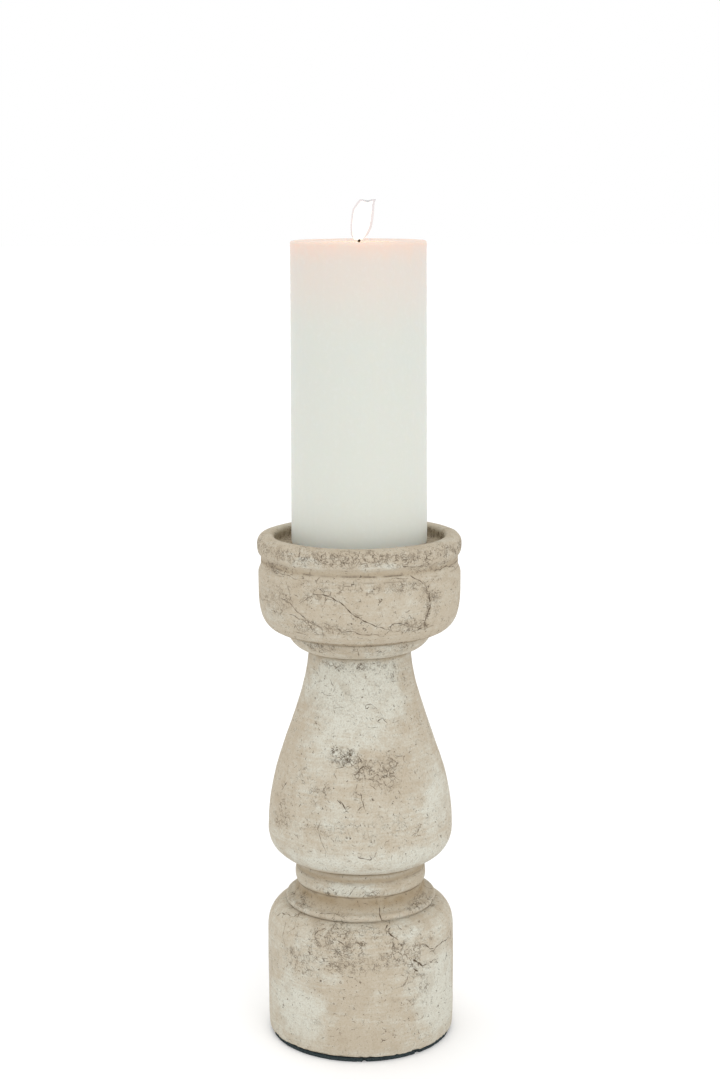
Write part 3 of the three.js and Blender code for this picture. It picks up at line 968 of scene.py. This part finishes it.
STEM_GRIT = [
    (0.8, 105, 154, 12, 8), (0.8, 94, 152, 9, 6), (0.6, 84, 146, 14, 6), (0.6, 72, 145, 22, 12),
    (0.45, 146, 121, 18, 14), (0.75, 90, 196, 70, 3.5), (0.7, 52, 192, 12, 6), (0.15, 90, 180, 60, 16),
    (0.35, 90, 118, 60, 8), (0.5, 118, 135, 10, 8), (0.9, 240, 150, 22, 14), (0.7, 300, 120, 30, 12),
    (0.75, 270, 196, 80, 3.5), (0.4, 130, 143, 14, 6),
]
COLLAR_GRIT = [(0.9, 124, 207, 22, 4), (0.5, 60, 206, 30, 5), (0.8, 240, 206, 40, 5)]
CUP_GRIT = [
    (0.7, 90, 255, 200, 5.5), (0.5, 90, 241, 60, 5), (0.45, 46, 232, 14, 12), (0.6, 46, 248, 26, 5),
    (0.7, 112, 236, 14, 5), (0.6, 112, 220, 30, 6), (0.8, 60, 221, 16, 5), (0.5, 146, 232, 20, 14),
    (0.7, 270, 236, 90, 10), (0.8, 145, 247, 20, 4),
]
BASE_BLOTS = [
    (0.45, 54, 47.6, 5, 3), (0.45, 56, 44, 4, 3), (0.55, 143, 67, 6, 3), (0.5, 148, 74, 16, 4),
    (0.5, 30, 73, 16, 4), (0.42, 98, 52, 14, 9), (0.45, 106, 61, 20, 8), (0.42, 132, 50, 18, 6),
    (0.6, 16, 52, 6, 4), (0.35, 72, 58, 12, 9), (0.3, 50, 30, 12, 9), (0.5, 225, 56, 18, 9),
    (0.5, 312, 44, 14, 9), (0.45, 270, 66, 30, 5), (0.3, 90, 74, 60, 6),
]
STEM_BLOTS = [
    (0.9, 110, 156, 6, 4), (1.0, 100, 153, 6, 4), (0.85, 97, 155.5, 5, 3.5), (0.7, 110, 150.5, 7, 4),
    (0.5, 91, 149, 8, 5), (0.42, 72, 145, 18, 10), (0.85, 137, 181, 3, 2), (0.25, 146, 121, 18, 13),
    (0.6, 113, 136, 5, 5), (0.42, 90, 197, 75, 3.0), (0.75, 236, 150, 9, 6), (0.5, 305, 122, 16, 10),
    (0.5, 270, 196.5, 75, 3.2), (0.4, 54, 189, 9, 6), (0.35, 104, 119, 12, 6), (0.4, 30, 165, 12, 10),
    (0.18, 90, 175, 60, 22),
]
COLLAR_BLOTS = [
    (0.42, 124, 207, 20, 4), (0.42, 54, 206, 8, 3), (0.5, 250, 206, 30, 4), (0.3, 90, 205, 60, 5),
]
CUP_BLOTS = [
    (0.5, 60, 255, 70, 6), (0.52, 120, 255, 70, 6), (0.5, 240, 255, 70, 6), (0.5, 310, 255, 70, 6),
    (0.3, 48, 230, 12, 10), (0.3, 114, 237, 10, 5), (0.5, 144, 247, 12, 5), (0.5, 66, 220, 16, 4),
    (0.42, 108, 220, 24, 5), (0.45, 46, 249, 22, 5), (0.25, 84, 243, 30, 5), (0.5, 250, 232, 26, 12),
    (0.4, 150, 228, 20, 14),
]


def field(skin, start, patches, seed):
    """A start value with patches added to it."""
    total = np.full(skin.radius.shape, float(start))
    for number, (strength, *place) in enumerate(patches):
        total += strength * skin.patch(*place, 0.25, seed + number)
    return total


def stains(skin, patches, seed):
    """How thickly old dirt lies in speckled blotches."""
    total = np.zeros(skin.radius.shape)
    for number, (strength, *place) in enumerate(patches):
        total = np.maximum(total, strength * skin.patch(*place, 0.3, seed + number))
    return total


def unevenness(place, seed):
    """Millimetres in or out: a wavy body, a trowelled surface and fine roughness."""
    trowelled = 0.2 * noise(place, 19, seed) + 0.09 * noise(place, 5.5, seed + 1)
    return trowelled + 0.04 * noise(place, 1.7, seed + 2)


def hollows(skin, creases):
    """How much painted shade and brown dirt lie at each height: 1 in a crease, 0 its reach away."""
    total = np.zeros(skin.radius.shape)
    shaky = skin.height + 0.5 * noise(skin.place, 7, 77)
    for height, reach, strength in creases:
        total = np.maximum(total, strength * (1 - smooth(np.abs(shaky - height), 0, reach)))
    return total


def joint_shadow_lines(skin, lines):
    """Thin broken painted shadow lines that run round at the given heights, at joints and creases."""
    total = np.zeros(skin.radius.shape)
    for height, half_width, strength in lines:
        away = np.abs(skin.height - height - 0.35 * skin.noise_round(9, 78))
        broken = smooth(skin.noise_round(5, 79), -0.5, 0.3)
        total = np.maximum(total, strength * broken * (1 - smooth(away, 0, half_width)))
    return total


def chipped_edge(skin):
    """Millimetres lost from the coat's lower edge, which is ragged where it was wiped off the foot."""
    ragged = np.clip(skin.noise_round(2.6, 41) + 0.7 * skin.noise_round(1.1, 42), 0, 1)
    return 0.9 * ragged * (1 - smooth(skin.height - BASE_BOTTOM, 0, 0.7 + 0.8 * ragged))


def raised_edge(skin):
    """How far the coat's lower edge stops short of the foot, in millimetres, most at the front left."""
    short = 0.25 + 0.6 * skin.patch(112, BASE_BOTTOM, 50, 20)
    short = short + 0.22 * skin.noise_round(8, 43) + 0.14 * skin.noise_round(2, 44)
    return np.clip(short, 0, 1.1) * (1 - smooth(skin.height - BASE_BOTTOM, 0, 1.6))


def shaded_and_dirty_inside(skin):
    """The cup's inner wall is brown and gritty, most at its foot: painted shade with dirt."""
    wall = 1 - smooth(skin.height, CUP_FLOOR + 3.5, CUP_TOP - 0.5)
    wall = wall * (skin.radius < CUP_INNER_RADIUS + 1.5)
    for key, strength in (("hollow", 0.65), ("grit", 0.9)):
        skin.values[key] = np.maximum(skin.values[key], strength * wall)


def make_coat(
    name, outline, seed, start, washes, grits, blots, cracks, wander, hairlines, pits, creases, lines
):
    """One section's coat with its wash, grit, dirt, painted shade and shadow lines, pits and cracks."""
    skin = Skin(outline, ease=0.8)
    skin.values["wash"] = field(skin, start, washes, seed)
    grit = np.clip(field(skin, 0.0, grits, seed + 50), 0, 1)
    skin.values["grit"] = grit
    skin.values["hollow"] = hollows(skin, creases)
    low, high = skin.points[:, 1].min() + 2, skin.points[:, 1].max() - 2
    fine = tiny_cracks(hairlines, low, high, seed + 8)
    others = wandering_cracks(wander, low, high, UNSEEN_ANGLES, seed + 9)
    add_cracks(skin, fine + spurs(cracks + others, seed + 7) + cracks + others, seed + 10)
    skin.pits(0.03 + grit**1.6, pits, smallest=0.35, largest=1.3, depth=0.3, seed=seed + 11)
    clusters = smooth(noise(skin.place, 3.2, seed + 12), 0.1, 0.7) * grit**2 + 1e-4
    skin.pits(clusters, pits, smallest=0.4, largest=0.95, depth=0.34, seed=seed + 13)
    # dirt in pits, and painted shadow lines at joints and creases
    dirt = np.clip((skin.sink - 0.15) / 0.24, 0, 0.85)
    skin.values["dirt"] = np.maximum(dirt, joint_shadow_lines(skin, lines))
    skin.values["stain"] = stains(skin, blots, seed + 20)
    # the cup's inner wall gets painted shade with dirt
    if name == "cup_skin":
        shaded_and_dirty_inside(skin)
    lift = (unevenness(skin.place, 500) - skin.sink) * skin.ends(1.2)
    up = 0.0
    if name == "base_skin":
        lift = lift - chipped_edge(skin)
        up = raised_edge(skin)
    piece = coat_piece(name, skin, lift, up)
    piece.data.materials.append(COAT)
    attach(piece, "stand")
    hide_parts(f"{name.removesuffix('_skin')}_coat")


def make_stand():
    """The five coats. A crease is its height, reach and strength of painted shade with dirt, and a line
    its height, half width and strength as a painted shadow line."""
    shoulder_top = BASE_BOTTOM + FOOT_TAPER_HEIGHT + BASE_WALL_HEIGHT + SHOULDER_HEIGHT
    bead_middle = BEAD_BOTTOM + LOWER_BEAD_HEIGHT
    groove = CUP_BOTTOM + BOWL_HEIGHT + CUP_WALL_HEIGHT + GROOVE_EASE + GROOVE_HEIGHT / 2
    make_coat(
        "base_skin", base_outline(), 100, 0.3, BASE_WASH, BASE_GRIT, BASE_BLOTS, BASE_CRACKS,
        wander=26, hairlines=190, pits=420,
        creases=[(shoulder_top + 0.3, 1.6, 0.15), (BASE_TOP - 2.0, 6.5, 1.0)],
        lines=[(BASE_TOP, 0.7, 0.4)],
    )
    make_coat(
        "bead_skin", bead_outline(), 200, 0.25, BEAD_WASH_AND_HIGHLIGHT, BEAD_GRIT, [], BEAD_CRACKS,
        wander=6, hairlines=16, pits=90,
        creases=[(BEAD_BOTTOM, 1.6, 0.9), (bead_middle + 1.4, 2.6, 0.75), (BEAD_TOP, 1.2, 0.7)],
        lines=[(BEAD_BOTTOM, 0.7, 0.4), (bead_middle, 0.8, 0.35)],
    )
    make_coat(
        "stem_skin", stem_outline(), 300, 0.32, STEM_WASH, STEM_GRIT, STEM_BLOTS, STEM_CRACKS,
        wander=34, hairlines=380, pits=620,
        creases=[(STEM_BOTTOM, 1.2, 0.7), (STEM_TOP, 2.2, 0.6)],
        lines=[(STEM_BOTTOM, 0.5, 0.4), (STEM_TOP, 0.7, 0.3)],
    )
    make_coat(
        "collar_skin", collar_outline(), 400, 0.22, COLLAR_WASH, COLLAR_GRIT, COLLAR_BLOTS, COLLAR_CRACKS,
        wander=6, hairlines=14, pits=110,
        creases=[(COLLAR_BOTTOM, 1.6, 0.85), (COLLAR_TOP, 1.2, 0.6)],
        lines=[(COLLAR_TOP, 0.8, 0.5)],
    )
    make_coat(
        "cup_skin", cup_outline(), 600, 0.05, CUP_WASH, CUP_GRIT, CUP_BLOTS, CUP_CRACKS,
        wander=26, hairlines=260, pits=900,
        creases=[(CUP_BOTTOM, 3.0, 0.6), (groove, 2.6, 0.55)],
        lines=[(CUP_BOTTOM, 0.6, 0.5), (groove - 0.6, 0.7, 0.85), (groove - 3.6, 0.5, 0.45)],
    )


# ==== pad, candle and flame ====


def make_pad():
    """A felt disc with a soft edge. Its edge is nicked in two places, where the floor shows through."""
    soft = 0.35
    outline = profile(
        (0, 0),
        [(PAD_RADIUS - soft, 0)],
        quad((PAD_RADIUS - soft, 0), (PAD_RADIUS, 0), (PAD_RADIUS, soft), 5),
        [(PAD_RADIUS, PAD_TOP - soft)],
        quad((PAD_RADIUS, PAD_TOP - soft), (PAD_RADIUS, PAD_TOP), (PAD_RADIUS - soft, PAD_TOP), 5),
        [(0, PAD_TOP)],
    )
    skin = Skin(outline, spacing=0.5, columns=720)
    edge = smooth(skin.radius, PAD_RADIUS - 6, PAD_RADIUS - 1)
    fuzz = 0.12 * noise(skin.place, 1.4, 21) * edge
    place = skin.place.copy()
    place[..., :2] *= (1 + (fuzz - 0.12) / PAD_RADIUS)[..., None]
    for angle, half_width, depth in ((88, 1.4, 1.6), (52, 2.2, 1.1), (210, 1.5, 1.2)):
        near = 1 - smooth(np.abs(skin.away(angle)), half_width * 0.5, half_width)
        place[..., :2] *= (1 - depth * near[None, :] * edge / PAD_RADIUS)[..., None]
    place[..., 2] = np.clip(place[..., 2], 0, PAD_TOP)
    piece = grid_mesh("pad_felt", place, False, runs=skin.run)
    piece.data.materials.append(pad_material())
    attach(piece, "stand")
    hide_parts("felt_pad")


def make_candle():
    """The pillar, its edges rounded by hand, with a shallow melted hollow round the wick."""
    bottom_round = 3.2
    top_round = 1.4
    dish_radius = CANDLE_RADIUS - 4
    dish_floor = CANDLE_TOP - 0.8
    outline = profile(
        (0, CANDLE_BOTTOM),
        [(CANDLE_RADIUS - bottom_round, CANDLE_BOTTOM)],
        [(CANDLE_RADIUS, CANDLE_BOTTOM), (CANDLE_RADIUS, CANDLE_BOTTOM + bottom_round)],
        [(CANDLE_RADIUS, CANDLE_TOP - top_round)],
        [(CANDLE_RADIUS, CANDLE_TOP), (CANDLE_RADIUS - top_round, CANDLE_TOP)],
        [(CANDLE_RADIUS - 3, CANDLE_TOP), (dish_radius, dish_floor), (dish_radius - 4, dish_floor)],
        [(0, dish_floor)],
    )
    skin = Skin(outline, spacing=0.8, columns=288)
    lift = 0.1 * noise(skin.place * (1, 1, 0.25), 16, 61) + 0.03 * noise(skin.place, 3.5, 62)
    in_dish = 1 - smooth(skin.radius, dish_radius - 4, dish_radius)
    in_dish = smooth(skin.height, CANDLE_TOP - 3, CANDLE_TOP) * in_dish
    lift = (lift - 0.1) * (1 - in_dish) * smooth(skin.height, CANDLE_BOTTOM, CANDLE_BOTTOM + 1)
    rows = skin.in_space(skin.moved(lift))
    pool = (1 - smooth(skin.radius, 9, 26)) * smooth(skin.height, CANDLE_TOP - 3, CANDLE_TOP - 1)
    piece = grid_mesh("pillar_wax", rows, False, skin.run, {"pool": pool})
    piece.data.materials.append(wax_material())
    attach(piece, "candle")
    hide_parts("candle_wax")


WICK_LEAN = 1.2  # of the wick's tip, to the right of the axis


def make_wick():
    """A short braided wick that leans and curls over at its tip."""
    rows = []
    bottom = CANDLE_TOP - 3
    length = 5.2
    steps = 22
    columns = 20
    turn = np.linspace(0, 2 * math.pi, columns, endpoint=False)
    for step in range(steps):
        share = step / (steps - 1)
        lean = WICK_LEAN * share**1.6
        braid = 0.07 * np.sin(3 * turn + share * 14)
        radius = (0.72 + braid) * (1 - 0.25 * share) * math.sqrt(max(1 - share**8, 0.0))
        height = bottom + length * share
        across = lean + radius * np.cos(turn)
        rows.append(np.column_stack([across, -radius * np.sin(turn), height + 0 * turn]))
    rows = [np.tile(rows[0].mean(0), (columns, 1)), *rows]
    piece = grid_mesh("burnt_wick", rows, False)
    piece.data.materials.append(wick_material())
    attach(piece, "candle")
    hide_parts("candle_wick")


FLAME_BOTTOM = CANDLE_TOP + 0.3
FLAME_HEIGHT = 19.4
FLAME_SKIN_GAP = 0.9
FLAME_COLUMNS = 64


def flame_rows(skin_gap):
    """The flame as level rings. It leans right, and its top is a crest with a dip between two tips."""
    steps = 56
    turn = np.linspace(0, 2 * math.pi, FLAME_COLUMNS, endpoint=False)
    left = [(0.0, -2.2), (0.1, -2.8), (0.35, -3.0), (0.6, -2.5), (0.76, -1.9), (0.92, 0.2), (1.0, 1.7)]
    right = [(0.0, 2.0), (0.1, 3.4), (0.3, 5.4), (0.5, 6.2), (0.75, 6.7), (0.92, 6.9), (1.0, 7.6)]
    rows = []
    for step in range(steps):
        share = step / (steps - 1)
        low, high = (np.interp(share, *zip(*side)) for side in (left, right))
        gap = skin_gap * min(share * 8, 1)
        low -= gap
        high += gap * 1.6
        middle = (low + high) / 2
        half = (high - low) / 2
        across = middle + half * np.cos(turn)
        depth = (half * 0.85 + gap) * math.sqrt(max(1 - share**5, 0.0))
        depth *= math.sqrt(min(share * 10 + 0.05, 1))
        dip = 2.1 * np.sin(math.pi * np.clip((across - 2.0) / 5.2, 0, 1)) * share**6
        height = FLAME_BOTTOM + (FLAME_HEIGHT + skin_gap) * share - dip
        rows.append(np.column_stack([across, -depth * np.sin(turn), height]))
    return rows


def make_flame():
    for name, gap, material in (
        ("flame_core", 0.0, flame_core_material()),
        ("flame_edge", FLAME_SKIN_GAP, flame_edge_material()),
    ):
        rows = flame_rows(gap)
        ends = [np.tile(row.mean(0), (FLAME_COLUMNS, 1)) for row in (rows[0], rows[-1])]
        rows = [ends[0], *rows, ends[1]]
        piece = grid_mesh(name, rows, False)
        piece.data.materials.append(material)
        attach(piece, "candle")


def dress_cores():
    core = wood_material("core_wood", CORE_PALE, CORE_DARK)
    dowel = wood_material("dowel_wood", DOWEL_PALE, DOWEL_DARK)
    for name, node in frame["nodes"].items():
        if name.endswith("_dowel"):
            node.data.materials.clear()
            node.data.materials.append(dowel)
        elif name in ("base_block", "bead_ring", "stem", "collar_disc", "cup_block"):
            node.data.materials.clear()
            node.data.materials.append(core)


# ==== floor, light and camera ====

CAMERA_DISTANCE = 1.0123
CAMERA_HEIGHT = 0.4404
CAMERA_PITCH = 4.62  # degrees below level
CAMERA_ROLL = -0.2
CAMERA_OFFSET = 0.0007
FOCAL_SHARE = 1996.1 / 1080  # focal length over the frame's long side
SHIFT = -200 / 1080


def make_floor():
    size = 12.0
    mesh = bpy.data.meshes.new("floor")
    corners = [(-size, -size, 0), (size, -size, 0), (size, size, 0), (-size, size, 0)]
    mesh.from_pydata(corners, [], [(0, 1, 2, 3)])
    floor = add_object("floor", mesh)
    s = Shader("pale_floor")
    mesh.materials.append(s.finish(s.add("BsdfDiffuse", {"Color": (0.98, 0.98, 0.98, 1.0)})))


def make_light():
    world = bpy.data.worlds.new("studio")
    world.use_nodes = True
    background = world.node_tree.nodes["Background"]
    background.inputs["Color"].default_value = (1.0, 1.0, 1.0, 1.0)
    background.inputs["Strength"].default_value = 1.0
    bpy.context.scene.world = world
    for name, energy, softness, tilt, swing in (
        ("key", 0.62, 50, 50, 16),
        ("fill", 0.28, 70, 35, -120),
    ):
        lamp = bpy.data.lights.new(name, "SUN")
        lamp.energy = energy
        lamp.angle = math.radians(softness)
        holder = add_object(name, lamp)
        holder.rotation_euler = (math.radians(tilt), 0, math.radians(swing))
    glow = bpy.data.lights.new("candle_light", "POINT")
    glow.energy = 0.006
    glow.color = (1.0, 0.72, 0.42)
    glow.shadow_soft_size = 0.006
    holder = add_object("candle_light", glow)
    holder.location = (0.003, 0, (FLAME_BOTTOM + FLAME_HEIGHT * 0.5) * MM)
    holder.parent = frame["bodies"]["candle"]


def make_camera():
    data = bpy.data.cameras.new("camera")
    data.sensor_width = 36.0
    data.lens = FOCAL_SHARE * data.sensor_width
    data.shift_y = SHIFT
    camera = add_object("camera", data)
    camera.location = (CAMERA_OFFSET, -CAMERA_DISTANCE, CAMERA_HEIGHT)
    camera.rotation_euler = (math.radians(90 - CAMERA_PITCH), 0, 0)
    camera.rotation_euler.rotate_axis("Z", math.radians(CAMERA_ROLL))
    bpy.context.scene.camera = camera


COAT = coat_material()
make_camera()
make_light()
make_floor()
make_stand()
make_pad()
make_candle()
make_wick()
make_flame()
dress_cores()
bpy.context.scene.view_settings.view_transform = "Standard"
